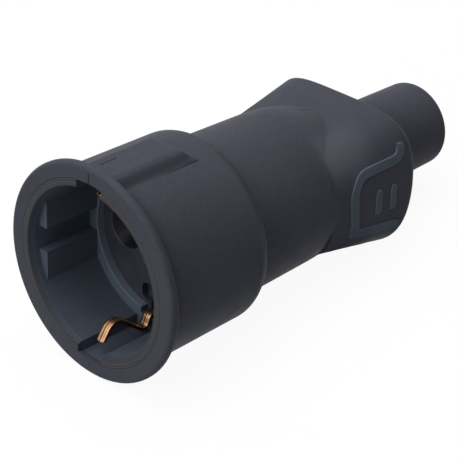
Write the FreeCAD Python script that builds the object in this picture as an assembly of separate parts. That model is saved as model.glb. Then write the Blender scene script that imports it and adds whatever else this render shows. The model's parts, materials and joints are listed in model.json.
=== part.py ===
import FreeCAD, Part
import math
import os

# Rewireable inline socket connector, two round pins with side earth clips.
# Millimetres. The origin is the centre of the mouth, in the plane of the front rim.
# +Y runs from the mouth to the cord nozzle, +Z is up, and the earth clips lie at +Z and -Z.

V = FreeCAD.Vector

# Clearances
FIT = 0.1
PIN_PLAY = 0.05

# Plug interface
PIN_R = 2.4
PIN_SPACING = 19.0
PIN_HOLE_R = 2.75
PIN_LEAD_R = 5.2
PIN_LEAD_DEPTH = 2.0
WELL_R = 20.0
WELL_MOUTH_R = 20.4
WELL_MOUTH_DEPTH = 1.6
WELL_DEPTH = 18.3
GUIDE_FLAT = 17.25
GUIDE_FRONT = 3.0
GUIDE_SLOT = 6.0
LEDGE_REACH = 2.7
LEDGE_T = 2.0

# Rigid shroud
SHROUD_WALL = 2.1
SHROUD_END = 31.5
SNAP_BEAD = 0.6
SNAP_BEAD_LENGTH = 1.0
RETAIN_RIB = 0.3
RETAIN_RIB_FRONT = 26.5
RETAIN_RIB_LENGTH = 2.0
CHANNEL_W = 7.8
CHANNEL_DEPTH = 2.15
CHANNEL_WALL = 1.0
CHANNEL_COVER_FRONT = 1.2
CLIP_GATE_W = 5.2

# Rubber housing
LENGTH = 111.7
FLANGE_REACH = 2.5
FLANGE_T = 2.2
FLANGE_EDGE_R = 1.0
FLANGE_BACK_R = 0.7
FLANGE_ROOT_R = 0.3
SLEEVE_WALL = 1.3
SLEEVE_DRAFT = 0.4
SLEEVE_END = 34.5
SHOULDER_SLOPE = 1.6
SHOULDER_R = 3.4
SHOULDER_ROOT_R = 0.8
PAD_WALL = 1.0
PAD_SIDE_SLOPE = 3.2
PAD_END_SLOPE = 3.0
PAD_EDGE_R = 2.6
BODY_R = 19.75
BODY_TAPER = 0.025
WAIST_START = 57.0
WAIST_CURVE_R = 43.0
WAIST_TURN = 40.0
CHAMBER_R = 15.5
CHAMBER_END = 63.0
FUNNEL_LENGTH = 10.0
CORD_BORE_R = 5.2
CORD_BORE_EDGE = 0.8
NOZZLE_ROOT_R = 11.5
NOZZLE_TIP_R = 10.8
NOZZLE_EDGE_R = 1.6

# Grip: crowned rectangular sections, from round at its front to square at its rear
GRIP_FRONT = 59.5
GRIP_REAR = 84.0
GRIP_END = 86.9
GRIP_FRONT_SINK_X = 0.45
GRIP_FRONT_SINK_Z = 4.2
GRIP_REAR_HALF_W = 20.8
GRIP_REAR_HALF_H = 18.7
GRIP_FRONT_POWER = 3.2
GRIP_REAR_POWER = 3.8
GRIP_END_CURVE_R = 34.0
GRIP_EDGE_R = 2.0
SECTION_POINTS = 40
SECTION_STEP = 3.5

# Raised marks on each side of the grip: a bent band, as (y, z, bend radius), its foot and two bars
MARK_HEIGHT = 0.35
BAND_W = 2.3
BAND_PATH = (
    (80.8, 11.8, 0),
    (80.8, 8.4, 2.4),
    (67.8, 7.4, 3.2),
    (65.9, 3.0, 5.0),
    (67.2, -9.1, 0),
)
BAND_FOOT = ((66.1, -7.9), (81.6, -9.8))
BAR_W = 1.7
BAR_LENGTH = 6.6
BAR_CENTRES = ((74.2, -1.5), (79.0, -1.5))

# Contact carrier
CARRIER_T = 4.0
CHAMBER_TUBE_WALL = 1.3
CHAMBER_TUBE_END = 38.2
BOSS_R = 2.1
CLIP_WINDOW_W = 8.6
CLIP_WINDOW_H = 4.4
CLIP_WINDOW_INSET = 1.7
CLIP_WINDOW_DEPTH = 1.8
CLIP_WINDOW_R = 1.4

# Pin contacts
CONTACT_WALL = 0.95
CONTACT_SLIT = 0.6
CONTACT_SLIT_LENGTH = 9.0
CONTACT_SETBACK = 0.4
COLLAR_T = 1.5
COLLAR_LAND = 0.9
CONTACT_NECK_R = 2.0
BLOCK_SIDE = 8.0
BLOCK_LENGTH = 8.4
WIRE_HOLE_R = 1.6
SPRING_WALL = 0.6
SPRING_WIDTH = 2.0
SPRING_GAP = 1.2
SPRING_SETBACK = 3.0

# Earth contact
CLIP_W = 2.4
CLIP_T = 0.7
CLIP_RIB_W = 1.0
CLIP_RIB_H = 0.3
CLIP_FOOT_LENGTH = 5.3
CLIP_STEM_RISE = 4.25
CLIP_ELBOW_SETBACK = 0.4
CLIP_LOW_SETBACK = 1.7
CLIP_BUMP_Y = 6.8
CLIP_BUMP_RISE = 8.25
CLIP_TIP_Y = 3.4
CLIP_TIP_RISE = 3.25
CLIP_TIP_R = 0.8
CLIP_FOOT_BEND_R = 1.0
CLIP_ELBOW_BEND_R = 1.0
CLIP_LOW_BEND_R = 1.5
CLIP_BUMP_BEND_R = 2.9
BRIDGE_W = 7.0
BRIDGE_T = 1.0
BRIDGE_TAIL_W = 5.0
BRIDGE_TAIL_Z = 6.6
EARTH_BLOCK_H = 5.8
RIVET_R = 0.9
RIVET_HEAD_R = 1.5
RIVET_HEAD_T = 0.6
RIVET_INSET = 3.3

# Rear insulator, cord clamp and screws
INSULATOR_T = 3.0
TONGUE_END = 62.0
TONGUE_W = 21.2
TONGUE_T = 2.6
POST_R = 2.4
POST_Y = 57.5
CLAMP_OPEN = 1.6
CLAMP_LENGTH = 5.6
CLAMP_T = 3.0
CLAMP_BITE = 0.6
SCREW_R = 1.25
SCREW_HEAD_R = 2.3
SCREW_HEAD_T = 1.7
SCREW_HEAD_CHAMFER = 0.6
SCREW_SLOT_W = 0.6
SCREW_SLOT_DEPTH = 0.8

# Places worked out from the dimensions above
PIN_X = PIN_SPACING / 2
LEDGE_R = WELL_R - LEDGE_REACH
LINER_R = WELL_R + SHROUD_WALL
SLEEVE_FRONT_R = LINER_R + FIT + SLEEVE_WALL
SLEEVE_REAR_R = SLEEVE_FRONT_R - SLEEVE_DRAFT
FLANGE_R = SLEEVE_FRONT_R + FLANGE_REACH
CHANNEL_FLOOR = WELL_R + CHANNEL_DEPTH
COVER_TOP = CHANNEL_FLOOR + CHANNEL_WALL
COVER_HALF_W = CHANNEL_W / 2 + CHANNEL_WALL
CLIP_STEM_Z = CHANNEL_FLOOR - CLIP_STEM_RISE
CLIP_BUMP_Z = CHANNEL_FLOOR - CLIP_BUMP_RISE
CLIP_TIP_Z = CHANNEL_FLOOR - CLIP_TIP_RISE
CLIP_FOOT_Z = CLIP_STEM_Z - CLIP_FOOT_LENGTH
CLIP_ELBOW_Y = WELL_DEPTH - CLIP_ELBOW_SETBACK
CLIP_LOW_Y = WELL_DEPTH - CLIP_LOW_SETBACK
CLIP_WINDOW_TOP = CLIP_STEM_Z - CLIP_WINDOW_INSET
RIVET_Z = CLIP_STEM_Z - RIVET_INSET
LEDGE_BACK = WELL_DEPTH + LEDGE_T
COVER_END = LEDGE_BACK + CHANNEL_WALL
PAD_TOP = COVER_TOP + FIT + PAD_WALL
PAD_HALF_W = COVER_HALF_W + FIT + PAD_WALL
PAD_END = COVER_END + FIT + PAD_WALL
CARRIER_BACK = LEDGE_BACK + CARRIER_T
CONTACT_BORE_R = PIN_R + PIN_PLAY
CONTACT_R = CONTACT_BORE_R + CONTACT_WALL
COLLAR_R = CONTACT_R + COLLAR_LAND
CHAMBER_TUBE_BORE_R = COLLAR_R + FIT
CHAMBER_TUBE_R = CHAMBER_TUBE_BORE_R + CHAMBER_TUBE_WALL
INSULATOR_BACK = CHAMBER_TUBE_END + INSULATOR_T
BLOCK_FRONT = INSULATOR_BACK + FIT
BLOCK_END = BLOCK_FRONT + BLOCK_LENGTH
BLOCK_SCREW_Y = BLOCK_FRONT + BLOCK_LENGTH / 2
BRIDGE_FRONT = CARRIER_BACK + CLIP_T
BRIDGE_BACK = BRIDGE_FRONT + BRIDGE_T
BRIDGE_END_Z = CLIP_STEM_Z - CLIP_T - CLIP_FOOT_BEND_R
EARTH_BLOCK_FLOOR = BRIDGE_TAIL_Z + BRIDGE_T
TONGUE_TOP = -CORD_BORE_R - FIT
POST_X = CORD_BORE_R + FIT + POST_R + FIT
POST_TOP = CORD_BORE_R - CLAMP_OPEN
NOZZLE_START = GRIP_REAR - NOZZLE_ROOT_R
WAIST_REACH = WAIST_CURVE_R * math.tan(math.radians(WAIST_TURN / 2))
WAIST_CORNER_Y = WAIST_START + WAIST_REACH
WAIST_CORNER_R = BODY_R - BODY_TAPER * (WAIST_CORNER_Y - SLEEVE_END)
WAIST_END_Y = WAIST_CORNER_Y + WAIST_REACH * math.cos(math.radians(WAIST_TURN))
WAIST_END_R = WAIST_CORNER_R - WAIST_REACH * math.sin(math.radians(WAIST_TURN))
GRIP_ROOT_R = BODY_R - BODY_TAPER * (GRIP_FRONT - SLEEVE_END)
GRIP_FRONT_HALF_W = GRIP_ROOT_R - GRIP_FRONT_SINK_X
GRIP_FRONT_HALF_H = GRIP_ROOT_R - GRIP_FRONT_SINK_Z


def cylinder(radius, y0, y1, x=0.0, z=0.0):
    return Part.makeCylinder(radius, y1 - y0, V(x, y0, z), V(0, 1, 0))


def cone(radius0, radius1, y0, y1, x=0.0, z=0.0):
    return Part.makeCone(radius0, radius1, y1 - y0, V(x, y0, z), V(0, 1, 0))


def block(x0, x1, y0, y1, z0, z1):
    return Part.makeBox(x1 - x0, y1 - y0, z1 - z0, V(x0, y0, z0))


def mirrored(shape, normal):
    return shape.mirror(V(0, 0, 0), normal)


def both_ends(shape):
    # The piece at +Z with its twin at -Z
    return shape.fuse(mirrored(shape, V(0, 0, 1)))


def both_sides(shape):
    # The piece at +X with its twin at -X
    return shape.fuse(mirrored(shape, V(1, 0, 0)))


def rounded_edges(corners, closed):
    # Straight runs through (u, v, radius) corners, each corner rounded by its radius
    points = [V(u, v, 0) for u, v, radius in corners]
    count = len(points)
    edges = []
    last = None
    first = None
    for index, (u, v, radius) in enumerate(corners):
        here = points[index]
        start = here
        end = here
        inner = closed or 0 < index < count - 1
        if radius > 0 and inner:
            back = (points[index - 1] - here).normalize()
            ahead = (points[(index + 1) % count] - here).normalize()
            half = back.getAngle(ahead) / 2
            middle = (back + ahead).normalize()
            reach = radius / math.tan(half)
            start = here + back * reach
            end = here + ahead * reach
            crown = here + middle * (radius / math.sin(half) - radius)
        if last is not None:
            edges.append(Part.LineSegment(last, start).toShape())
        else:
            first = start
        if start != end:
            edges.append(Part.Arc(start, crown, end).toShape())
        last = end
    if closed:
        edges.append(Part.LineSegment(last, first).toShape())
    return edges


def turned(corners):
    # Solid of revolution about Y from (radius, y, rounding) corners
    wire = Part.Wire(rounded_edges(corners, True))
    return Part.Face(wire).revolve(V(0, 0, 0), V(0, 1, 0), 360)


def in_side_view(shape):
    # Turns a drawing made in (y, z) as X and Y into the YZ plane
    drawing = shape.copy()
    drawing.transformShape(FreeCAD.Matrix(0, 0, 1, 0, 1, 0, 0, 0, 0, 1, 0, 0, 0, 0, 0, 1))
    return drawing


def screw(head_base, direction, shank_length):
    # Slotted pan-head screw, head_base is under the head and direction points from tip to head
    shank = Part.makeCylinder(SCREW_R - PIN_PLAY, shank_length, head_base, direction * -1)
    head = Part.makeCylinder(SCREW_HEAD_R, SCREW_HEAD_T, head_base, direction)
    head = head.makeChamfer(SCREW_HEAD_CHAMFER, [head.Edges[0]])
    body = head.fuse(shank)
    top = head_base + direction * SCREW_HEAD_T
    slot = Part.makeBox(2 * SCREW_HEAD_R, SCREW_SLOT_W, 2 * SCREW_SLOT_DEPTH)
    slot.translate(V(-SCREW_HEAD_R, -SCREW_SLOT_W / 2, -SCREW_SLOT_DEPTH))
    slot.Placement = FreeCAD.Placement(top, FreeCAD.Rotation(V(0, 0, 1), direction)).multiply(slot.Placement)
    return body.cut(slot)


def grip_radius(angle, y):
    # Crowned rectangle that squares up towards the rear
    along = (y - GRIP_FRONT) / (GRIP_REAR - GRIP_FRONT)
    half_w = GRIP_FRONT_HALF_W + (GRIP_REAR_HALF_W - GRIP_FRONT_HALF_W) * along
    half_h = GRIP_FRONT_HALF_H + (GRIP_REAR_HALF_H - GRIP_FRONT_HALF_H) * along
    power = GRIP_FRONT_POWER + (GRIP_REAR_POWER - GRIP_FRONT_POWER) * along
    wide = abs(math.cos(angle) / half_w) ** power
    high = abs(math.sin(angle) / half_h) ** power
    return (wide + high) ** (-1 / power)


def grip_section(y, proud):
    points = []
    for step in range(SECTION_POINTS):
        angle = 2 * math.pi * step / SECTION_POINTS
        radius = grip_radius(angle, y) + proud
        points.append(V(radius * math.cos(angle), y, radius * math.sin(angle)))
    curve = Part.BSplineCurve()
    curve.interpolate(points, PeriodicFlag=True)
    return Part.Wire(curve.toShape())


def grip_loft(proud):
    # Grip from inside the body to past its own end, standing proud of its size by a little
    end = GRIP_END + GRIP_EDGE_R
    count = round((end - GRIP_FRONT) / SECTION_STEP)
    step = (end - GRIP_FRONT) / count
    sections = [grip_section(GRIP_FRONT + step * index, proud) for index in range(count + 1)]
    return Part.makeLoft(sections, True, False)


def grip_end_limit():
    # Everything ahead of the grip's gently curved end face
    centre_y = GRIP_END - GRIP_END_CURVE_R
    end = Part.makeCylinder(GRIP_END_CURVE_R, 2 * FLANGE_R, V(-FLANGE_R, centre_y, 0), V(1, 0, 0))
    front = block(-FLANGE_R, FLANGE_R, 0, centre_y, -GRIP_END_CURVE_R, GRIP_END_CURVE_R)
    return end.fuse(front)


def band_prism():
    # The band's outline run through the grip along X
    spine = in_side_view(Part.Wire(rounded_edges(BAND_PATH, False)))
    y, z, bend = BAND_PATH[0]
    corners = [
        V(0, y - BAND_W / 2, z),
        V(FLANGE_R, y - BAND_W / 2, z),
        V(FLANGE_R, y + BAND_W / 2, z),
        V(0, y + BAND_W / 2, z),
    ]
    profile = Part.makePolygon(corners + corners[:1])
    band = spine.makePipeShell([profile], True, False)
    (y0, z0), (y1, z1) = BAND_FOOT
    foot = Part.makeBox(FLANGE_R, math.hypot(y1 - y0, z1 - z0), BAND_W, V(0, 0, -BAND_W / 2))
    foot.rotate(V(0, 0, 0), V(1, 0, 0), math.degrees(math.atan2(z1 - z0, y1 - y0)))
    foot.translate(V(0, y0, z0))
    return band.fuse(foot)


def bar_prism(y, z):
    # One short upright bar with round ends, run through the grip along X
    half = (BAR_LENGTH - BAR_W) / 2
    bar = block(0, FLANGE_R, y - BAR_W / 2, y + BAR_W / 2, z - half, z + half)
    ends = [Part.makeCylinder(BAR_W / 2, FLANGE_R, V(0, y, z + end), V(1, 0, 0)) for end in (-half, half)]
    return bar.fuse(ends)


def side_marks():
    # Band and bars of one side, cut to an even height over the grip
    prisms = [bar_prism(y, z) for y, z in BAR_CENTRES]
    return band_prism().fuse(prisms).common(grip_loft(MARK_HEIGHT))


def grip():
    solid = grip_loft(0.0).common(grip_end_limit())
    end_face = [face for face in solid.Faces if isinstance(face.Surface, Part.Cylinder)][0]
    solid = solid.makeFillet(GRIP_EDGE_R, end_face.Edges)
    return solid.fuse(both_sides(side_marks()))


def pad():
    # Raised flat over one clip channel, with soft sides and a soft rear end
    foot = SLEEVE_REAR_R - PAD_WALL
    corners = [
        (-PAD_HALF_W - PAD_SIDE_SLOPE / 2, foot, 0),
        (PAD_HALF_W + PAD_SIDE_SLOPE / 2, foot, 0),
        (PAD_HALF_W - PAD_SIDE_SLOPE / 2, PAD_TOP, PAD_EDGE_R),
        (-PAD_HALF_W + PAD_SIDE_SLOPE / 2, PAD_TOP, PAD_EDGE_R),
    ]
    face = Part.Face(Part.Wire(rounded_edges(corners, True)))
    face.rotate(V(0, 0, 0), V(1, 0, 0), 90)
    solid = face.extrude(V(0, PAD_END + PAD_END_SLOPE, 0))
    end = [
        (0, 0, 0),
        (PAD_END + PAD_END_SLOPE, 0, 0),
        (PAD_END + PAD_END_SLOPE, foot, 0),
        (PAD_END, PAD_TOP, PAD_EDGE_R),
        (0, PAD_TOP, 0),
    ]
    side = in_side_view(Part.Face(Part.Wire(rounded_edges(end, True))))
    side.translate(V(-FLANGE_R, 0, 0))
    return solid.common(side.extrude(V(2 * FLANGE_R, 0, 0)))


def rubber_housing():
    barrel = turned([
        (0, 0, 0),
        (FLANGE_R, 0, FLANGE_EDGE_R),
        (FLANGE_R, FLANGE_T, FLANGE_BACK_R),
        (SLEEVE_FRONT_R, FLANGE_T, FLANGE_ROOT_R),
        (SLEEVE_REAR_R, SLEEVE_END - SHOULDER_SLOPE, SHOULDER_R),
        (BODY_R, SLEEVE_END, SHOULDER_ROOT_R),
        (WAIST_CORNER_R, WAIST_CORNER_Y, WAIST_CURVE_R),
        (WAIST_END_R, WAIST_END_Y, 0),
        (0, WAIST_END_Y, 0),
    ])
    nozzle = turned([
        (0, NOZZLE_START, 0),
        (NOZZLE_ROOT_R, NOZZLE_START, 0),
        (NOZZLE_TIP_R, LENGTH, NOZZLE_EDGE_R),
        (0, LENGTH, 0),
    ])
    pads = both_ends(pad()).common(cylinder(FLANGE_R - FLANGE_EDGE_R, FLANGE_EDGE_R, SLEEVE_END))
    outer = barrel.fuse([grip(), pads, nozzle])
    inner = cylinder(LINER_R + FIT, -FIT, SHROUD_END + FIT)
    rib_end = RETAIN_RIB_FRONT + RETAIN_RIB_LENGTH
    inner = inner.fuse([
        block(-COVER_HALF_W - FIT, COVER_HALF_W + FIT, CHANNEL_COVER_FRONT - FIT, COVER_END + FIT,
              -COVER_TOP - FIT, COVER_TOP + FIT),
        cylinder(LINER_R + RETAIN_RIB + FIT, RETAIN_RIB_FRONT - FIT, rib_end + FIT),
        cylinder(CHAMBER_R, 0, CHAMBER_END),
        cone(CHAMBER_R, CORD_BORE_R, CHAMBER_END, CHAMBER_END + FUNNEL_LENGTH),
        cylinder(CORD_BORE_R, CHAMBER_END, LENGTH + FIT),
        cone(CORD_BORE_R, CORD_BORE_R + CORD_BORE_EDGE, LENGTH - CORD_BORE_EDGE, LENGTH),
    ])
    return outer.cut(inner)


def socket_shroud():
    outer = cylinder(LINER_R, 0, SHROUD_END).fuse([
        block(-COVER_HALF_W, COVER_HALF_W, CHANNEL_COVER_FRONT, COVER_END, -COVER_TOP, COVER_TOP),
        cylinder(LINER_R + RETAIN_RIB, RETAIN_RIB_FRONT, RETAIN_RIB_FRONT + RETAIN_RIB_LENGTH),
    ])
    guide = block(GUIDE_FLAT, LINER_R, GUIDE_FRONT, WELL_DEPTH, -WELL_R, WELL_R)
    guide = guide.cut(block(0, LINER_R, 0, WELL_DEPTH, -GUIDE_SLOT / 2, GUIDE_SLOT / 2))
    well = cylinder(WELL_R, 0, WELL_DEPTH).fuse(cone(WELL_MOUTH_R, WELL_R, 0, WELL_MOUTH_DEPTH))
    well = well.cut(both_sides(guide))
    channel = block(-CHANNEL_W / 2, CHANNEL_W / 2, 0, WELL_DEPTH, 0, CHANNEL_FLOOR)
    gate = block(-CLIP_GATE_W / 2, CLIP_GATE_W / 2, WELL_DEPTH, LEDGE_BACK, 0, CLIP_STEM_Z + CLIP_T + FIT)
    seat = cylinder(WELL_R, LEDGE_BACK, SHROUD_END)
    snap = cylinder(WELL_R, CARRIER_BACK + FIT, CARRIER_BACK + FIT + SNAP_BEAD_LENGTH)
    snap = snap.cut(cylinder(WELL_R - SNAP_BEAD, LEDGE_BACK, SHROUD_END))
    void = well.fuse([
        both_ends(channel),
        both_ends(gate),
        cylinder(LEDGE_R, 0, LEDGE_BACK),
        seat.cut(snap),
    ])
    return outer.cut(void)


def at_pins(shape):
    # One copy of a piece modelled at x = 0 for each pin
    copies = [shape.copy(), shape.copy()]
    copies[0].translate(V(-PIN_X, 0, 0))
    copies[1].translate(V(PIN_X, 0, 0))
    return copies


def contact_carrier():
    disc = cylinder(WELL_R - FIT, LEDGE_BACK, CARRIER_BACK)
    tube = cylinder(CHAMBER_TUBE_R, CARRIER_BACK - FIT, CHAMBER_TUBE_END)
    boss = cylinder(BOSS_R, CARRIER_BACK - FIT, CHAMBER_TUBE_END)
    solid = disc.fuse(at_pins(tube) + [boss])
    entry = cone(PIN_LEAD_R, PIN_HOLE_R, LEDGE_BACK, LEDGE_BACK + PIN_LEAD_DEPTH)
    entry = entry.fuse(cylinder(PIN_HOLE_R, LEDGE_BACK, CARRIER_BACK + FIT))
    pocket = cylinder(CHAMBER_TUBE_BORE_R, CARRIER_BACK, CHAMBER_TUBE_END)
    stem = block(-CLIP_W / 2 - FIT, CLIP_W / 2 + FIT, LEDGE_BACK, CARRIER_BACK,
                 BRIDGE_END_Z, CLIP_STEM_Z + CLIP_T + FIT)
    window = block(-CLIP_WINDOW_W / 2, CLIP_WINDOW_W / 2, LEDGE_BACK, LEDGE_BACK + CLIP_WINDOW_DEPTH,
                   CLIP_WINDOW_TOP - CLIP_WINDOW_H, CLIP_WINDOW_TOP)
    corners = [edge for edge in window.Edges if edge.BoundBox.YLength > CLIP_WINDOW_DEPTH / 2]
    window = window.makeFillet(CLIP_WINDOW_R, corners)
    rivet = cylinder(RIVET_HEAD_R + FIT, CARRIER_BACK - RIVET_HEAD_T - FIT, CARRIER_BACK, 0, RIVET_Z)
    rib_half_w = CLIP_RIB_W / 2 + FIT
    rib_seat = block(-rib_half_w, rib_half_w, CARRIER_BACK - CLIP_RIB_H - FIT, CARRIER_BACK,
                     CLIP_FOOT_Z - FIT, BRIDGE_END_Z)
    voids = at_pins(entry) + at_pins(pocket)
    voids += [both_ends(piece) for piece in (stem, window, rivet, rib_seat)]
    voids.append(cylinder(SCREW_R, CARRIER_BACK, CHAMBER_TUBE_END))
    return solid.cut(voids)


def pin_contact():
    # Slit sleeve, collar, neck and terminal block turned and milled from one bar, at x = 0
    front = CARRIER_BACK + CONTACT_SETBACK
    collar_end = CHAMBER_TUBE_END - FIT
    solid = cylinder(CONTACT_R, front, collar_end).fuse([
        cylinder(COLLAR_R, collar_end - COLLAR_T, collar_end),
        cylinder(CONTACT_NECK_R, collar_end - FIT, BLOCK_FRONT + FIT),
        block(-BLOCK_SIDE / 2, BLOCK_SIDE / 2, BLOCK_FRONT, BLOCK_END, -BLOCK_SIDE / 2, BLOCK_SIDE / 2),
    ])
    slit_end = front + CONTACT_SLIT_LENGTH
    slit = block(-CONTACT_R, CONTACT_R, front, slit_end, -CONTACT_SLIT / 2, CONTACT_SLIT / 2)
    cross = slit.copy()
    cross.rotate(V(0, 0, 0), V(0, 1, 0), 90)
    screw_hole = Part.makeCylinder(SCREW_R, BLOCK_SIDE / 2, V(0, BLOCK_SCREW_Y, 0), V(0, 0, 1))
    return solid.cut([
        cylinder(CONTACT_BORE_R, front, collar_end - COLLAR_T),
        slit,
        cross,
        cylinder(WIRE_HOLE_R, BLOCK_FRONT + COLLAR_T, BLOCK_END),
        screw_hole,
    ])


def contact_spring():
    front = CARRIER_BACK + SPRING_SETBACK
    inner = CONTACT_R + PIN_PLAY
    ring = cylinder(inner + SPRING_WALL, front, front + SPRING_WIDTH)
    ring = ring.cut(cylinder(inner, front, front + SPRING_WIDTH))
    return ring.cut(block(-SPRING_GAP / 2, SPRING_GAP / 2, front, front + SPRING_WIDTH, 0, CHAMBER_TUBE_R))


def terminal_screw():
    base = V(0, BLOCK_SCREW_Y, BLOCK_SIDE / 2)
    return screw(base, V(0, 0, 1), BLOCK_SIDE / 2 - FIT)


def at_tip_corner(edge):
    # True on the short edges through the strip at the two corners of the clip's tip
    tip = V(0, CLIP_TIP_Y, CLIP_TIP_Z)
    ends = [vertex.Point for vertex in edge.Vertexes]
    across = all(abs(abs(point.x) - CLIP_W / 2) < PIN_PLAY for point in ends)
    return across and all(V(0, point.y, point.z).distanceToPoint(tip) < CLIP_T for point in ends)


def earth_clip():
    # Bent strip with a pressed rib, from its riveted foot to its sprung tip
    foot_y = CARRIER_BACK + CLIP_T / 2
    low_z = CHANNEL_FLOOR - CLIP_T
    path = rounded_edges([
        (foot_y, CLIP_FOOT_Z, 0),
        (foot_y, CLIP_STEM_Z, CLIP_FOOT_BEND_R),
        (CLIP_ELBOW_Y, CLIP_STEM_Z, CLIP_ELBOW_BEND_R),
        (CLIP_LOW_Y, low_z, CLIP_LOW_BEND_R),
        (CLIP_BUMP_Y, CLIP_BUMP_Z, CLIP_BUMP_BEND_R),
        (CLIP_TIP_Y, CLIP_TIP_Z, 0),
    ], False)
    spine = in_side_view(Part.Wire(path))
    half_w = CLIP_W / 2
    half_t = CLIP_T / 2
    rib = CLIP_RIB_W / 2
    outline = [
        V(-half_w, half_t, 0),
        V(-half_w, -half_t, 0),
        V(half_w, -half_t, 0),
        V(half_w, half_t, 0),
        V(rib, half_t, 0),
    ]
    edges = [Part.LineSegment(a, b).toShape() for a, b in zip(outline, outline[1:])]
    edges.append(Part.Arc(V(rib, half_t, 0), V(0, half_t + CLIP_RIB_H, 0), V(-rib, half_t, 0)).toShape())
    edges.append(Part.LineSegment(V(-rib, half_t, 0), outline[0]).toShape())
    profile = Part.Wire(edges)
    profile.rotate(V(0, 0, 0), V(0, 0, 1), 180)
    profile.translate(V(0, foot_y, CLIP_FOOT_Z))
    strip = spine.makePipeShell([profile], True, False)
    corners = [edge for edge in strip.Edges if at_tip_corner(edge)]
    strip = strip.makeFillet(CLIP_TIP_R, corners)
    hole = cylinder(RIVET_R + PIN_PLAY, CARRIER_BACK - CLIP_T, BRIDGE_BACK, 0, RIVET_Z)
    spot_face = cylinder(RIVET_HEAD_R + FIT, CARRIER_BACK - CLIP_T, CARRIER_BACK, 0, RIVET_Z)
    return strip.cut([hole, spot_face])


def earth_bridge():
    # Strap across the carrier's back, with a tail to the earth terminal
    half_w = BRIDGE_W / 2
    strap = block(-half_w, half_w, BRIDGE_FRONT, BRIDGE_BACK, -BRIDGE_END_Z, BRIDGE_END_Z)
    strap = strap.cut(cylinder(BOSS_R + FIT, BRIDGE_FRONT, BRIDGE_BACK))
    for z in (-RIVET_Z, RIVET_Z):
        strap = strap.cut(cylinder(RIVET_R + PIN_PLAY, BRIDGE_FRONT, BRIDGE_BACK, 0, z))
    tail = block(-BRIDGE_TAIL_W / 2, BRIDGE_TAIL_W / 2, BRIDGE_FRONT, BLOCK_END,
                 BRIDGE_TAIL_Z, BRIDGE_TAIL_Z + BRIDGE_T)
    return strap.fuse(tail)


def earth_rivet():
    head_front = CARRIER_BACK - RIVET_HEAD_T
    shank = cylinder(RIVET_R, head_front, BRIDGE_BACK + RIVET_HEAD_T, 0, RIVET_Z)
    return shank.fuse([
        cylinder(RIVET_HEAD_R, head_front, CARRIER_BACK, 0, RIVET_Z),
        cone(RIVET_HEAD_R, RIVET_R, BRIDGE_BACK, BRIDGE_BACK + RIVET_HEAD_T, 0, RIVET_Z),
    ])


def earth_terminal():
    top = EARTH_BLOCK_FLOOR + EARTH_BLOCK_H
    half_w = BLOCK_SIDE / 2
    solid = block(-half_w, half_w, BLOCK_FRONT, BLOCK_END, EARTH_BLOCK_FLOOR, top)
    wire_z = EARTH_BLOCK_FLOOR + EARTH_BLOCK_H / 2
    screw_hole = Part.makeCylinder(SCREW_R, EARTH_BLOCK_H / 2, V(0, BLOCK_SCREW_Y, wire_z), V(0, 0, 1))
    return solid.cut([cylinder(WIRE_HOLE_R, BLOCK_FRONT + COLLAR_T, BLOCK_END, 0, wire_z), screw_hole])


def earth_screw():
    base = V(0, BLOCK_SCREW_Y, EARTH_BLOCK_FLOOR + EARTH_BLOCK_H)
    return screw(base, V(0, 0, 1), EARTH_BLOCK_H / 2 - FIT)


def rear_insulator():
    # Plate that traps the contacts, with the tongue and posts of the cord clamp
    radius = CHAMBER_R - FIT
    solid = cylinder(radius, CHAMBER_TUBE_END, INSULATOR_BACK)
    tongue = block(-TONGUE_W / 2, TONGUE_W / 2, CHAMBER_TUBE_END, TONGUE_END,
                   TONGUE_TOP - TONGUE_T, TONGUE_TOP)
    post_foot = V(POST_X, POST_Y, TONGUE_TOP - FIT)
    post = Part.makeCylinder(POST_R, POST_TOP - TONGUE_TOP + FIT, post_foot, V(0, 0, 1))
    solid = solid.fuse([tongue, both_sides(post)])
    neck = CONTACT_NECK_R + FIT
    notch = cylinder(neck, CHAMBER_TUBE_END, INSULATOR_BACK, PIN_X)
    notch = notch.fuse(block(PIN_X, CHAMBER_R, CHAMBER_TUBE_END, INSULATOR_BACK, -neck, neck))
    tail = block(-BRIDGE_TAIL_W / 2 - FIT, BRIDGE_TAIL_W / 2 + FIT, CHAMBER_TUBE_END, INSULATOR_BACK,
                 BRIDGE_TAIL_Z - FIT, EARTH_BLOCK_FLOOR + FIT)
    post_hole = Part.makeCylinder(SCREW_R, POST_TOP - TONGUE_TOP, V(POST_X, POST_Y, TONGUE_TOP), V(0, 0, 1))
    centre_hole = cylinder(SCREW_R + PIN_PLAY, CHAMBER_TUBE_END, INSULATOR_BACK)
    return solid.cut([both_sides(notch), tail, both_sides(post_hole), centre_hole])


def centre_screw():
    length = INSULATOR_BACK - CARRIER_BACK - INSULATOR_T
    return screw(V(0, INSULATOR_BACK, 0), V(0, 1, 0), length)


def clamp_bar():
    half_w = POST_X + POST_R
    y0 = POST_Y - CLAMP_LENGTH / 2
    y1 = POST_Y + CLAMP_LENGTH / 2
    solid = block(-half_w, half_w, y0, y1, POST_TOP, POST_TOP + CLAMP_T)
    saddle = cylinder(CORD_BORE_R, y0, y1)
    tooth = cylinder(CORD_BORE_R, POST_Y - CLAMP_BITE, POST_Y + CLAMP_BITE)
    tooth = tooth.cut(cylinder(CORD_BORE_R - CLAMP_BITE, y0, y1))
    hole = Part.makeCylinder(SCREW_R + PIN_PLAY, CLAMP_T, V(POST_X, POST_Y, POST_TOP), V(0, 0, 1))
    return solid.cut([saddle.cut(tooth), both_sides(hole)])


def clamp_screw():
    base = V(POST_X, POST_Y, POST_TOP + CLAMP_T)
    return screw(base, V(0, 0, 1), CLAMP_T + POST_TOP - TONGUE_TOP - FIT)


def twins(shape, normal):
    # The piece and its mirror image as two separate solids
    return Part.makeCompound([shape, mirrored(shape, normal)])


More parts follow.
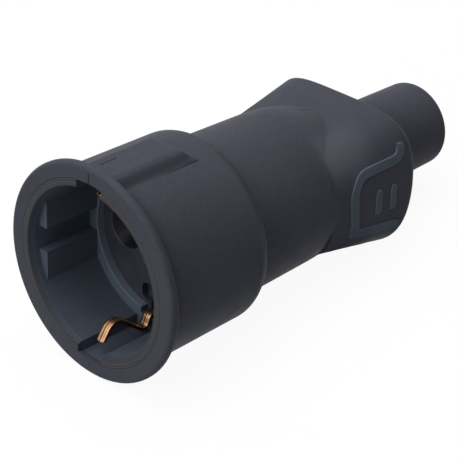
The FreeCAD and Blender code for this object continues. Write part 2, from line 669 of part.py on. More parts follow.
def save(name, shape):
    solids = shape.removeSplitter().Solids
    result = solids[0] if len(solids) == 1 else Part.makeCompound(solids)
    result.exportStep(os.path.join("parts", name + ".step"))


def main():
    os.makedirs("parts", exist_ok=True)
    contacts = at_pins(pin_contact())
    springs = at_pins(contact_spring())
    screws = at_pins(terminal_screw())
    for index, name in enumerate(("line", "neutral")):
        save(name + "_contact", contacts[index])
        save(name + "_contact_spring", springs[index])
        save(name + "_terminal_screw", screws[index])
    clip = earth_clip()
    save("earth_clip_top", clip)
    save("earth_clip_bottom", mirrored(clip, V(0, 0, 1)))
    save("earth_bridge", earth_bridge())
    save("earth_rivets", twins(earth_rivet(), V(0, 0, 1)))
    save("earth_terminal", earth_terminal())
    save("earth_terminal_screw", earth_screw())
    save("contact_carrier", contact_carrier())
    save("rear_insulator", rear_insulator())
    save("centre_screw", centre_screw())
    save("clamp_bar", clamp_bar())
    save("clamp_screws", twins(clamp_screw(), V(1, 0, 0)))
    save("socket_shroud", socket_shroud())
    save("rubber_housing", rubber_housing())


main()
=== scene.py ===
import json
import math

import bpy
from mathutils import Matrix, Vector


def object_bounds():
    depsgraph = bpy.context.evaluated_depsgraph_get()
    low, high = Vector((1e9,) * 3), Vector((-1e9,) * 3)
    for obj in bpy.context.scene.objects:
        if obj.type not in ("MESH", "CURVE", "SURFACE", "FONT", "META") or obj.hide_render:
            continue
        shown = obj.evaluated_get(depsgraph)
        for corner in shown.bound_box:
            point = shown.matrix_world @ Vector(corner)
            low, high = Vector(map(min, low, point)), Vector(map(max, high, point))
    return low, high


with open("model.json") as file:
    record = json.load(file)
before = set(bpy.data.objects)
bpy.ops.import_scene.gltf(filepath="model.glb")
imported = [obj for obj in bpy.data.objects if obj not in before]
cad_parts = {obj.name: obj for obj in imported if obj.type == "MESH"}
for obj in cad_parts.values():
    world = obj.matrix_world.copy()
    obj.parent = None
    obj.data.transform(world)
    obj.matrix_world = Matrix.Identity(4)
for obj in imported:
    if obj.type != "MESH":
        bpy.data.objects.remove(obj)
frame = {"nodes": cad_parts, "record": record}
nodes = frame["nodes"]
cad_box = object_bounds()

# Sizes in metres, if nothing else is said. The mouth's centre is the origin and +Y runs to the nozzle.
MM = 0.001

# Camera at the photograph's viewing angle
CAMERA_PLACE = Vector((265.3, -238.8, 211.6)) * MM
CAMERA_AIM = Vector((-3.35, 47.6, -8.25)) * MM
CAMERA_ROLL = math.radians(1.96)
CAMERA_LENS = 149.4
CAMERA_NEAR = 10.0 * MM

# Floor under the lower pad's rear end and the grip's underside, where the part comes to rest
SLEEVE_END = 34.5 * MM
GRIP_START = 60.0 * MM
FLOOR_GAP = 0.05 * MM
FLOOR_SIZE = 6.0
FLOOR_COLOR = (0.46, 0.46, 0.47)
FLOOR_SEEN_COLOR = (0.96, 0.96, 0.96)
FLOOR_WHITE = 0.94
WHITE = (1.0, 1.0, 1.0)

# Soft boxes as (name, place, size, power, colour), all aimed at the part's middle
LAMPS = (
    ("key", (0, -0.65, 0.9), 1.0, 6.0, (1.0, 0.97, 0.97)),
    ("top", (0, 0.05, 1.1), 0.9, 5.6, (1.0, 0.98, 1.0)),
    ("left", (-0.5, 0, 0.95), 0.9, 4.8, (1.0, 0.98, 1.0)),
    ("front", (0, -1.1, 0.35), 0.9, 4.8, (0.95, 0.98, 1.0)),
)
SKY_STRENGTH = 0.03
SKY_COLOR = (0.88, 0.97, 1.0)

# Raised marks of the grip's side: the band as (y, z, bend radius), its foot and two bars, in millimetres
BAND_PATH = (
    (80.8, 11.8, 0),
    (80.8, 8.4, 2.4),
    (67.8, 7.4, 3.2),
    (65.9, 3.0, 5.0),
    (67.2, -9.1, 0),
)
BAND_FOOT = ((66.1, -7.9), (81.6, -9.8))
BAND_HALF_W = 1.15
BAR_CENTRES = ((74.2, -1.5), (79.0, -1.5))
BAR_HALF_RUN = 2.45
BAR_HALF_W = 0.85
BEND_STEPS = 3
IN_SIDE_VIEW = (0, 1, 1)

# Paint of the marks in millimetres: its spread, the reach of the painted highlight on their edges and the
# rim of a mask
MARK_SPREAD = 0.1
MARK_EDGE = 0.2
MASK_EDGE = 0.06

# Short dark dashes of the mould's parting line, each as (start, end, weight of each axis), in millimetres
DASHES = (
    ((0, 0, 21.7), (0, 0, 24.6), (1, 0.1, 1)),
    ((0, 0, -22.8), (0, 0, -23.5), (1, 0.1, 1)),
    ((-2.0, 5.4, 24.25), (-2.0, 9.8, 24.25), (1, 1, 0.1)),
    ((0, 67.0, 18.0), (0, 70.0, 17.3), (1, 1, 0.1)),
    ((0, 81.0, 18.3), (0, 83.0, 18.5), (1, 1, 0.1)),
)
DASH_HALF_W = 0.2

# Places in the well: the front ring and its ridges, the mouth, the ledge's face and edge, the pin funnels
RING_DEPTH = 0.3 * MM
RING_RIDGE_R = 21.35 * MM
RING_RIDGE_STEP = 0.6 * MM
MOUTH_DEPTH = 1.6 * MM
LEDGE_EDGE_R = 17.6 * MM
LEDGE_OUTER_R = 19.9 * MM
LEDGE_EDGE_Y = 18.0 * MM
LEDGE_MASK_EDGE = 0.1 * MM
PIN_X = 9.5 * MM
FUNNEL_R = 5.2 * MM
FUNNEL_MASK_EDGE = 0.2 * MM

# Height of the ridges' wave, from -1 to 1, where the painted highlight of a crest or the painted shade of a
# groove sets in
RIDGE_FLANK = 0.2

# Raised pads over the clips: places of their sides, fronts and rear ends, and what shading adds to them
PAD_SIDE_IN = 4.9 * MM
PAD_SIDE_OUT = 7.6 * MM
PAD_FOOT_Z = 20.0 * MM
PAD_FRONT = 2.4 * MM
PAD_REAR_IN = 22.6 * MM
PAD_REAR_OUT = 24.2 * MM
PAD_STEEPNESS = 0.9 * MM
PAD_FOOT_SOFTNESS = 1.2 * MM
PAD_FOOT_REACH = 2.0 * MM
PAD_FOOT_FULL = 1.2 * MM

# Rounded shoulder behind the sleeve, and the root behind the flange where a little painted shade darkens
# the sleeve
SHOULDER_START = 30.6 * MM
SHOULDER_END = 34.2 * MM
SHOULDER_FALL = 2.2 * MM
FLANGE_BACK = 2.2 * MM
ROOT_SHADE_END = 6.2 * MM
ROOT_R = 23.7 * MM

# Valley where the body runs into the grip: softened over this stretch of Y, some millimetres off the marks
VALLEY_START = 54.0 * MM
VALLEY_END = 76.0 * MM
VALLEY_SOFTNESS = 1.6 * MM
MARK_CLEARANCE = (1.5, 2.0)

# Flare of the grip's shoulders behind the valley, which leans them a little further to the front and
# lightens them with painted light
FLARE_START = 57.5 * MM
FLARE_FULL = 62.0 * MM
FLARE_FADE = 65.0 * MM
FLARE_END = 76.0 * MM
FLARE_LOW = 3.0 * MM
FLARE_HIGH = 11.0 * MM
FLARE_SIDE_IN = 7.0 * MM
FLARE_SIDE_OUT = 14.0 * MM
FLARE_LEAN = (0, -0.8, 0.1)

# Colours in linear light, each with the share it is laid on with where that is not full
RUBBER_DARK = (0.045, 0.048, 0.061)
RUBBER_PALE = (0.064, 0.067, 0.083)
DUST_COLOR = (0.16, 0.16, 0.17)
DUST_SHARE = 0.35
# Painted shade on the sleeve just behind the flange
ROOT_PAINTED_SHADE = (0.010, 0.010, 0.014)
ROOT_PAINTED_SHADE_SHARE = 0.35
# Painted light on the grip's shoulders behind the valley
FLARE_PAINTED_LIGHT = (0.082, 0.086, 0.102)
FLARE_PAINTED_LIGHT_SHARE = 0.6
MARK_COLOR = (0.076, 0.093, 0.120)
# Painted highlight on the edges of the grip's raised marks
MARK_EDGE_HIGHLIGHT = (0.150, 0.172, 0.205)
MARK_EDGE_HIGHLIGHT_SHARE = 0.4
DASH_COLOR = (0.012, 0.012, 0.015)
SHROUD_DARK = (0.058, 0.071, 0.094)
SHROUD_PALE = (0.068, 0.083, 0.110)
# Painted shade in the mouth of the well, behind the front ring
MOUTH_PAINTED_SHADE = (0.022, 0.027, 0.034)
MOUTH_PAINTED_SHADE_SHARE = 0.6
LEDGE_FACE_COLOR = (0.085, 0.115, 0.155)
# Painted highlight on the ledge's inner edge
LEDGE_EDGE_HIGHLIGHT = (0.20, 0.23, 0.27)
LEDGE_SHARE = 0.6
RING_COLOR = (0.050, 0.051, 0.057)
# Painted highlights on the crests and painted shade in the grooves of the ring's ridges
RIDGE_CREST_HIGHLIGHT = (0.12, 0.12, 0.13)
RIDGE_CREST_HIGHLIGHT_SHARE = 0.45
RIDGE_GROOVE_SHADE = (0.014, 0.014, 0.017)
RIDGE_GROOVE_SHADE_SHARE = 0.5
CARRIER_DARK = (0.027, 0.029, 0.041)
CARRIER_PALE = (0.036, 0.038, 0.053)
# Painted shade in the pin funnels
FUNNEL_PAINTED_SHADE = (0.010, 0.010, 0.013)
INSULATOR_DARK = (0.055, 0.055, 0.060)
INSULATOR_PALE = (0.070, 0.070, 0.075)
BRASS_DARK = (0.52, 0.36, 0.14)
BRASS_BRIGHT = (0.76, 0.58, 0.28)
BRONZE_DARK = (0.30, 0.165, 0.085)
BRONZE_BRIGHT = (0.50, 0.31, 0.17)
# Painted shade on the sides of the clip's beads
BEAD_SIDE_SHADE = (0.11, 0.058, 0.028)
SPRING_DARK = (0.38, 0.38, 0.39)
SPRING_BRIGHT = (0.58, 0.58, 0.60)
SCREW_DARK = (0.46, 0.46, 0.46)
SCREW_BRIGHT = (0.66, 0.66, 0.68)

# Reflectance at the surface, with a second value for the ring and the funnels, and ranges of roughness
RUBBER_SHINE = 0.05
SHROUD_SHINE = 0.3
RING_SHINE = 0.06
CARRIER_SHINE = 0.35
FUNNEL_SHINE = 0.08
INSULATOR_SHINE = 0.4
RUBBER_ROUGHNESS = (0.50, 0.62)
SHROUD_ROUGHNESS = (0.45, 0.58)
CARRIER_ROUGHNESS = (0.34, 0.48)
INSULATOR_ROUGHNESS = (0.5, 0.65)
BRASS_ROUGHNESS = (0.22, 0.36)
BRONZE_ROUGHNESS = (0.36, 0.46)
SPRING_ROUGHNESS = (0.24, 0.36)
SCREW_ROUGHNESS = (0.24, 0.40)

# Radii of the edges that are softened by shading, and depths of the grain
EDGE_SOFTNESS = 0.2 * MM
INSULATOR_SOFTNESS = 0.15 * MM
METAL_SOFTNESS = 0.12 * MM
RUBBER_GRAIN = 0.02 * MM
SHROUD_GRAIN = 0.012 * MM
CARRIER_GRAIN = 0.03 * MM
INSULATOR_GRAIN = 0.015 * MM
METAL_GRAIN = 0.008 * MM

# Noise in cells for each metre, the part of its range that is used, and where dust and tarnish set in
NOISE_SWING = (0.3, 0.7)
RUBBER_CLOUDS = 45.0
RUBBER_MOTTLE = 1500.0
TONE_SHARE = 0.5
RUBBER_GLOSS = 180.0
RUBBER_GRAINS = 5200.0
DUST_CELLS = 900.0
DUST_RADII = (0.10, 0.06)
DUST_PATCHES = 260.0
DUST_PATCH_SWING = (0.62, 0.68)
SHROUD_STREAKS = (900.0, 60.0, 900.0)
SHROUD_GLOSS = 220.0
SHROUD_GRAINS = 3800.0
CARRIER_FLOW = 320.0
CARRIER_GRAINS = 700.0
INSULATOR_CLOUDS = 300.0
INSULATOR_GLOSS = 500.0
INSULATOR_GRAINS = 3000.0
METAL_TARNISH = 380.0
TARNISH_SWING = (0.35, 0.75)
METAL_LINE_SWING = (0.25, 0.75)
LENGTHWISE = (9000.0, 250.0, 250.0)
ALL_ROUND = (4000.0, 4000.0, 4000.0)

# Two beads along the clip's strip: distance from the middle, height and where painted shade darkens their
# sides
BEAD_OFFSET = 0.6 * MM
BEAD_HEIGHT = 0.2 * MM
BEAD_SIDE = (0.9, 0.3)

# Sockets of a mix node that hold its two colours and the result, and the rays of a softened edge
MIX_FIRST = 6
MIX_SECOND = 7
MIX_RESULT = 2
SOFT_EDGE_SAMPLES = 6


def rounded_path(corners):
    """Points of straight runs through (u, v, radius) corners, each bend in a few chords."""
    points = []
    for index, (u, v, radius) in enumerate(corners):
        here = Vector((u, v))
        if not radius:
            points.append(here)
            continue
        back = (Vector(corners[index - 1][:2]) - here).normalized()
        ahead = (Vector(corners[index + 1][:2]) - here).normalized()
        half = back.angle(ahead) / 2
        centre = here + (back + ahead).normalized() * (radius / math.sin(half))
        start = here + back * (radius / math.tan(half)) - centre
        turn = start.angle_signed(here + ahead * (radius / math.tan(half)) - centre)
        for step in range(BEND_STEPS + 1):
            angle = -turn * step / BEND_STEPS
            points.append(centre + Matrix.Rotation(angle, 2) @ start)
    return [tuple(point) for point in points]


class Paint:
    """A material whose nodes are added one by one, in the coordinates of the part."""

    def __init__(self, name):
        self.material = bpy.data.materials.new(name)
        self.material.use_nodes = True
        self.tree = self.material.node_tree
        self.shader = self.tree.nodes["Principled BSDF"]
        self.place = self.add("ShaderNodeTexCoord").outputs["Object"]
        axes = self.add("ShaderNodeSeparateXYZ")
        self.link(self.place, axes.inputs[0])
        self.x, self.y, self.z = axes.outputs

    def add(self, kind, **settings):
        node = self.tree.nodes.new(kind)
        for key, value in settings.items():
            setattr(node, key, value)
        return node

    def link(self, source, target):
        self.tree.links.new(source, target)

    def feed(self, socket, value):
        """Gives a socket a link or a plain value."""
        if isinstance(value, bpy.types.NodeSocket):
            self.link(value, socket)
        else:
            socket.default_value = value

    def shine(self, value):
        self.feed(self.shader.inputs["Specular IOR Level"], value)

    def math(self, operation, first, second=0.0, clamp=False):
        node = self.add("ShaderNodeMath", operation=operation, use_clamp=clamp)
        self.feed(node.inputs[0], first)
        self.feed(node.inputs[1], second)
        return node.outputs[0]

    def product(self, first, *others):
        for other in others:
            first = self.math("MULTIPLY", first, other)
        return first

    def magnitude(self, value):
        return self.math("ABSOLUTE", value)

    def vector_math(self, operation, first, second):
        node = self.add("ShaderNodeVectorMath", operation=operation)
        self.feed(node.inputs[0], first)
        self.feed(node.inputs["Scale"] if operation == "SCALE" else node.inputs[1], second)
        return node.outputs["Value"] if operation in ("DOT_PRODUCT", "DISTANCE") else node.outputs[0]

    def stretched(self, scale):
        """The place with its own scale along each axis."""
        node = self.add("ShaderNodeMapping")
        node.inputs["Scale"].default_value = scale
        self.link(self.place, node.inputs["Vector"])
        return node.outputs[0]

    def noise(self, scale, detail=3.0, roughness=0.5, place=None):
        node = self.add("ShaderNodeTexNoise")
        node.inputs["Scale"].default_value = scale
        node.inputs["Detail"].default_value = detail
        node.inputs["Roughness"].default_value = roughness
        self.link(place or self.place, node.inputs["Vector"])
        return node.outputs["Fac"]

    def cells(self, scale):
        """Distance from the middle of the nearest cell."""
        node = self.add("ShaderNodeTexVoronoi")
        node.inputs["Scale"].default_value = scale
        self.link(self.place, node.inputs["Vector"])
        return node.outputs["Distance"]

    def span(self, value, low, high, to_low=0.0, to_high=1.0, soft=False):
        """The stretch from low to high, brought to a stretch of its own and held at its ends."""
        node = self.add("ShaderNodeMapRange", interpolation_type="SMOOTHSTEP" if soft else "LINEAR")
        self.feed(node.inputs["Value"], value)
        node.inputs["From Min"].default_value = low
        node.inputs["From Max"].default_value = high
        node.inputs["To Min"].default_value = to_low
        node.inputs["To Max"].default_value = to_high
        return node.outputs[0]

    def swing(self, noise, low=0.0, high=1.0):
        """The middle of a noise's range, brought to a stretch of its own."""
        return self.span(noise, *NOISE_SWING, low, high)

    def mix(self, factor, first, second):
        node = self.add("ShaderNodeMix", data_type="RGBA")
        self.feed(node.inputs["Factor"], factor)
        self.feed(node.inputs[MIX_FIRST], (*first, 1.0) if isinstance(first, tuple) else first)
        self.feed(node.inputs[MIX_SECOND], (*second, 1.0) if isinstance(second, tuple) else second)
        return node.outputs[MIX_RESULT]

    def bump(self, normal, height, distance, strength=1.0):
        """The normal turned by a height from 0 to 1 that stands for a distance."""
        node = self.add("ShaderNodeBump")
        node.inputs["Distance"].default_value = distance
        node.inputs["Strength"].default_value = strength
        self.link(height, node.inputs["Height"])
        self.link(normal, node.inputs["Normal"])
        return node.outputs[0]

    def soft_edges(self, radius):
        """The normal with the part's sharp edges rounded by a radius."""
        node = self.add("ShaderNodeBevel", samples=SOFT_EDGE_SAMPLES)
        self.feed(node.inputs["Radius"], radius)
        return node.outputs[0]

    def leaned(self, normal, lean, share):
        """The normal with a share of the lean added to it."""
        total = self.vector_math("ADD", normal, self.vector_math("SCALE", lean, share))
        node = self.add("ShaderNodeVectorMath", operation="NORMALIZE")
        self.link(total, node.inputs[0])
        return node.outputs[0]

    def radius(self, u, v):
        return self.math("SQRT", self.math("ADD", self.product(u, u), self.product(v, v)))

    def distance_to_path(self, points, weights):
        """Distance from the surface to a path of points in millimetres, with a weight for each axis."""
        flat = self.vector_math("MULTIPLY", self.place, Vector(weights) / MM)
        nearest = None
        for start, end in zip(points, points[1:]):
            start = Vector(start) * Vector(weights)
            run = Vector(end) * Vector(weights) - start
            away = self.vector_math("SUBTRACT", flat, start)
            along = self.vector_math("DOT_PRODUCT", away, run / run.length_squared)
            share = self.math("ADD", along, 0.0, clamp=True)
            distance = self.vector_math("DISTANCE", away, self.vector_math("SCALE", run, share))
            nearest = self.math("MINIMUM", nearest, distance) if nearest else distance
        return nearest

    def finish(self, color, roughness, normal):
        self.link(color, self.shader.inputs["Base Color"])
        self.link(roughness, self.shader.inputs["Roughness"])
        self.link(normal, self.shader.inputs["Normal"])
        return self.material


def pulled_in(points, reach):
    """The path with both ends drawn in, so that the round end of its mask stops where the strip does."""
    path = [Vector(point) for point in points]
    path[0] = path[0] + (path[1] - path[0]).normalized() * reach
    path[-1] = path[-1] + (path[-2] - path[-1]).normalized() * reach
    return path


def outside(paint, strips):
    """Millimetres from the nearest strip of (points, half width, axis weights), negative inside it."""
    nearest = None
    for points, half_w, weights in strips:
        gap = paint.math("SUBTRACT", paint.distance_to_path(points, weights), half_w)
        nearest = paint.math("MINIMUM", nearest, gap) if nearest else gap
    return nearest


def outside_marks(paint):
    """Distance from the grip's raised marks."""
    runs = [(pulled_in(path, BAND_HALF_W), BAND_HALF_W) for path in (rounded_path(BAND_PATH), BAND_FOOT)]
    for y, z in BAR_CENTRES:
        runs.append((((y, z - BAR_HALF_RUN), (y, z + BAR_HALF_RUN)), BAR_HALF_W))
    strips = []
    for points, half_w in runs:
        strips.append(([(0, *point) for point in points], half_w, IN_SIDE_VIEW))
    return outside(paint, strips)


def outside_dashes(paint):
    """Distance from the dashes of the mould's parting line."""
    return outside(paint, [((start, end), DASH_HALF_W, weights) for start, end, weights in DASHES])


def rubber_ground(paint):
    """Blue-grey black with a cloudy tone, a fine mottle and a few pale specks of dust."""
    cloud = paint.swing(paint.noise(RUBBER_CLOUDS, detail=4.0), 0.0, TONE_SHARE)
    mottle = paint.swing(paint.noise(RUBBER_MOTTLE, detail=2.0), 0.0, TONE_SHARE)
    color = paint.mix(paint.math("ADD", cloud, mottle), RUBBER_DARK, RUBBER_PALE)
    speck = paint.product(
        paint.span(paint.cells(DUST_CELLS), *DUST_RADII),
        paint.span(paint.noise(DUST_PATCHES, detail=1.0), *DUST_PATCH_SWING),
        DUST_SHARE,
    )
    return paint.mix(speck, color, DUST_COLOR)


def root(paint):
    """Mask of the sleeve just behind the flange, where shade is painted."""
    return paint.product(
        paint.span(paint.y, ROOT_SHADE_END, FLANGE_BACK, soft=True),
        paint.math("LESS_THAN", paint.radius(paint.x, paint.z), ROOT_R),
        paint.math("GREATER_THAN", paint.y, FLANGE_BACK),
    )


def flare(paint):
    """Mask of the grip's shoulders behind the valley, for the lean and the painted light."""
    return paint.product(
        paint.span(paint.y, FLARE_START, FLARE_FULL, soft=True),
        paint.span(paint.y, FLARE_END, FLARE_FADE, soft=True),
        paint.span(paint.magnitude(paint.z), FLARE_LOW, FLARE_HIGH, soft=True),
        paint.span(paint.magnitude(paint.x), FLARE_SIDE_IN, FLARE_SIDE_OUT, soft=True),
    )


def valley(paint, off_marks):
    """Mask of the valley, clear of the marks."""
    return paint.product(
        paint.span(paint.y, VALLEY_START, VALLEY_START + VALLEY_SOFTNESS),
        paint.span(paint.y, VALLEY_END, VALLEY_END - VALLEY_SOFTNESS),
        paint.span(off_marks, *MARK_CLEARANCE),
    )


def near_pads(paint):
    """1 well above and below the axis, behind the flange."""
    far_up_or_down = paint.math("GREATER_THAN", paint.magnitude(paint.z), PAD_FOOT_Z)
    return paint.product(far_up_or_down, paint.math("GREATER_THAN", paint.y, PAD_FRONT))


def pad_height(paint):
    """1 on top of the pads, falling to 0 over their sides and rear ends."""
    return paint.product(
        paint.span(paint.magnitude(paint.x), PAD_SIDE_OUT, PAD_SIDE_IN, soft=True),
        paint.span(paint.y, PAD_REAR_OUT, PAD_REAR_IN, soft=True),
        near_pads(paint),
    )


def pad_foot(paint):
    """Mask of the feet of the pads' sides, up to the shoulder."""
    from_foot = paint.magnitude(paint.math("SUBTRACT", paint.magnitude(paint.x), PAD_SIDE_OUT))
    return paint.product(
        paint.span(from_foot, PAD_FOOT_REACH, PAD_FOOT_FULL),
        near_pads(paint),
        paint.math("LESS_THAN", paint.y, SHOULDER_START),
    )


def rubber_color(paint, off_marks, flared):
    """The rubber's ground with painted shade behind the flange, painted light on the flare, the marks with
    painted highlights on their edges, and the dashes.
    """
    color = rubber_ground(paint)
    # Painted shade on the sleeve just behind the flange
    color = paint.mix(paint.product(root(paint), ROOT_PAINTED_SHADE_SHARE), color, ROOT_PAINTED_SHADE)
    # Painted light on the grip's shoulders
    color = paint.mix(paint.product(flared, FLARE_PAINTED_LIGHT_SHARE), color, FLARE_PAINTED_LIGHT)
    color = paint.mix(paint.span(off_marks, MARK_SPREAD, MARK_SPREAD - MASK_EDGE), color, MARK_COLOR)
    # Painted highlight along the edges of the marks
    edge_highlight = paint.span(paint.magnitude(off_marks), MARK_EDGE, MARK_EDGE - MASK_EDGE)
    color = paint.mix(paint.product(edge_highlight, MARK_EDGE_HIGHLIGHT_SHARE), color, MARK_EDGE_HIGHLIGHT)
    return paint.mix(paint.span(outside_dashes(paint), 0.0, -MASK_EDGE), color, DASH_COLOR)


def rubber_normal(paint, off_marks, flared):
    """Soft valley and pad feet, steeper pads and shoulder, flared grip, and a fine grain over all."""
    softness = paint.span(valley(paint, off_marks), 0.0, 1.0, EDGE_SOFTNESS, VALLEY_SOFTNESS)
    softness = paint.math("MAXIMUM", softness, paint.product(pad_foot(paint), PAD_FOOT_SOFTNESS))
    normal = paint.bump(paint.soft_edges(softness), pad_height(paint), PAD_STEEPNESS)
    shoulder = paint.span(paint.y, SHOULDER_END, SHOULDER_START, soft=True)
    normal = paint.bump(normal, shoulder, SHOULDER_FALL)
    normal = paint.leaned(normal, FLARE_LEAN, flared)
    grain = paint.noise(RUBBER_GRAINS, detail=2.0, roughness=0.6)
    return paint.bump(normal, grain, RUBBER_GRAIN, strength=0.35)


def rubber():
    """Matte moulded rubber."""
    paint = Paint("housing_rubber")
    paint.shine(RUBBER_SHINE)
    off_marks = outside_marks(paint)
    flared = flare(paint)
    color = rubber_color(paint, off_marks, flared)
    roughness = paint.swing(paint.noise(RUBBER_GLOSS), *RUBBER_ROUGHNESS)
    return paint.finish(color, roughness, rubber_normal(paint, off_marks, flared))


def ledge(paint, outer, start):
    """Mask of what lies within a radius, behind a place along Y."""
    return paint.product(
        paint.span(paint.radius(paint.x, paint.z), outer, outer - LEDGE_MASK_EDGE),
        paint.span(paint.y, start, start + LEDGE_MASK_EDGE),
    )


def ridged(paint, color, ring):
    """The colour with painted highlights on the crests and painted shade in the grooves of ridges around
    the outer part of the ring.
    """
    from_ridge = paint.math("SUBTRACT", paint.radius(paint.x, paint.z), RING_RIDGE_R)
    wave = paint.math("COSINE", paint.product(from_ridge, math.tau / RING_RIDGE_STEP))
    outer = paint.product(ring, paint.math("GREATER_THAN", from_ridge, -RING_RIDGE_STEP / 4))
    crest = paint.product(outer, paint.span(wave, RIDGE_FLANK, 1.0, 0.0, RIDGE_CREST_HIGHLIGHT_SHARE))
    color = paint.mix(crest, color, RIDGE_CREST_HIGHLIGHT)
    groove = paint.product(outer, paint.span(wave, -RIDGE_FLANK, -1.0, 0.0, RIDGE_GROOVE_SHADE_SHARE))
    return paint.mix(groove, color, RIDGE_GROOVE_SHADE)


def shroud_plastic():
    """Moulded blue-black thermoplastic with drawn streaks from the mould and a drier, greyer front ring,
    painted shade in the mouth, a lighter ledge face with a painted highlight on its edge, and ridges on the
    ring painted as highlights and shade.
    """
    paint = Paint("shroud_plastic")
    streak = paint.noise(1.0, detail=4.0, roughness=0.6, place=paint.stretched(SHROUD_STREAKS))
    color = paint.mix(paint.swing(streak), SHROUD_DARK, SHROUD_PALE)
    # Painted shade in the mouth, just behind the front ring
    mouth = paint.span(paint.y, MOUTH_DEPTH, MOUTH_DEPTH - RING_DEPTH)
    color = paint.mix(paint.product(mouth, MOUTH_PAINTED_SHADE_SHARE), color, MOUTH_PAINTED_SHADE)
    face = ledge(paint, LEDGE_OUTER_R, LEDGE_EDGE_Y - LEDGE_MASK_EDGE)
    color = paint.mix(paint.product(face, LEDGE_SHARE), color, LEDGE_FACE_COLOR)
    # Painted highlight on the ledge's inner edge
    edge = ledge(paint, LEDGE_EDGE_R, LEDGE_EDGE_Y)
    color = paint.mix(paint.product(edge, LEDGE_SHARE), color, LEDGE_EDGE_HIGHLIGHT)
    ring = paint.span(paint.y, RING_DEPTH, RING_DEPTH / 2)
    color = ridged(paint, paint.mix(ring, color, RING_COLOR), ring)
    paint.shine(paint.span(ring, 0.0, 1.0, SHROUD_SHINE, RING_SHINE))
    roughness = paint.swing(paint.noise(SHROUD_GLOSS), *SHROUD_ROUGHNESS)
    grain = paint.noise(SHROUD_GRAINS, detail=2.0)
    normal = paint.bump(paint.soft_edges(EDGE_SOFTNESS), grain, SHROUD_GRAIN, strength=0.4)
    return paint.finish(color, roughness, normal)


def carrier_plastic():
    """Smooth black thermoset with a half gloss and faint flow marks, with painted shade in the pin funnels.
    """
    paint = Paint("carrier_plastic")
    flow = paint.noise(CARRIER_FLOW, detail=5.0, roughness=0.6)
    color = paint.mix(paint.swing(flow), CARRIER_DARK, CARRIER_PALE)
    off_axis = paint.radius(paint.math("SUBTRACT", paint.magnitude(paint.x), PIN_X), paint.z)
    funnel = paint.span(off_axis, FUNNEL_R, FUNNEL_R - FUNNEL_MASK_EDGE)
    # Painted shade in the pin funnels
    color = paint.mix(funnel, color, FUNNEL_PAINTED_SHADE)
    paint.shine(paint.span(funnel, 0.0, 1.0, CARRIER_SHINE, FUNNEL_SHINE))
    roughness = paint.swing(flow, *CARRIER_ROUGHNESS)
    grain = paint.noise(CARRIER_GRAINS)
    normal = paint.bump(paint.soft_edges(EDGE_SOFTNESS), grain, CARRIER_GRAIN, strength=0.3)
    return paint.finish(color, roughness, normal)


def insulator_plastic():
    """Matte dark grey thermoplastic of the inner plates."""
    paint = Paint("insulator_plastic")
    paint.shine(INSULATOR_SHINE)
    color = paint.mix(paint.noise(INSULATOR_CLOUDS), INSULATOR_DARK, INSULATOR_PALE)
    roughness = paint.swing(paint.noise(INSULATOR_GLOSS, detail=2.0), *INSULATOR_ROUGHNESS)
    grain = paint.noise(INSULATOR_GRAINS, detail=2.0)
    normal = paint.bump(paint.soft_edges(INSULATOR_SOFTNESS), grain, INSULATOR_GRAIN, strength=0.4)
    return paint.finish(color, roughness, normal)


def bead_height(paint):
    """1 along the crests of the two beads, less to both sides."""
    off_crest = paint.math("SUBTRACT", paint.math("DIVIDE", paint.magnitude(paint.x), BEAD_OFFSET), 1.0)
    return paint.math("SUBTRACT", 1.0, paint.product(off_crest, off_crest))


def metal(name, dark, bright, roughness, stretch, beads=False):
    """Rolled or turned metal with fine lines along the stretch, a little tarnish, and beads with painted
    shade on their sides if asked.
    """
    paint = Paint(name)
    paint.shader.inputs["Metallic"].default_value = 1.0
    lines = paint.noise(1.0, roughness=0.6, place=paint.stretched(stretch))
    tarnish = paint.noise(METAL_TARNISH, detail=4.0, roughness=0.6)
    color = paint.mix(paint.span(tarnish, *TARNISH_SWING), bright, dark)
    normal = paint.soft_edges(METAL_SOFTNESS)
    if beads:
        height = bead_height(paint)
        normal = paint.bump(normal, height, BEAD_HEIGHT)
        # Painted shade on the sides of the beads
        color = paint.mix(paint.span(height, *BEAD_SIDE), color, BEAD_SIDE_SHADE)
    normal = paint.bump(normal, lines, METAL_GRAIN, strength=0.35)
    return paint.finish(color, paint.span(lines, *METAL_LINE_SWING, *roughness), normal)


def contact_brass():
    """Turned and pressed brass of the contacts and the inner earth pieces."""
    return metal("contact_brass", BRASS_DARK, BRASS_BRIGHT, BRASS_ROUGHNESS, ALL_ROUND)


def earth_bronze():
    """Rolled spring bronze of the earth clips."""
    return metal("earth_bronze", BRONZE_DARK, BRONZE_BRIGHT, BRONZE_ROUGHNESS, LENGTHWISE, beads=True)


def spring_steel():
    """Bright steel of the ring springs."""
    return metal("spring_steel", SPRING_DARK, SPRING_BRIGHT, SPRING_ROUGHNESS, ALL_ROUND)


def screw_steel():
    """Plated steel of the screws."""
    return metal("screw_steel", SCREW_DARK, SCREW_BRIGHT, SCREW_ROUGHNESS, ALL_ROUND)


MATERIALS = {
    "housing_rubber": rubber(),
    "shroud_plastic": shroud_plastic(),
    "carrier_plastic": carrier_plastic(),
    "insulator_plastic": insulator_plastic(),
    "contact_brass": contact_brass(),
    "earth_bronze": earth_bronze(),
    "spring_steel": spring_steel(),
    "screw_steel": screw_steel(),
}


def dress():
    """Each node of the part gets the finish of its slot in the record."""
    for piece in frame["record"]["subparts"]:
        node = nodes[piece["node"]]
        node.data.materials.clear()
        node.data.materials.append(MATERIALS[piece["material_slot"]])


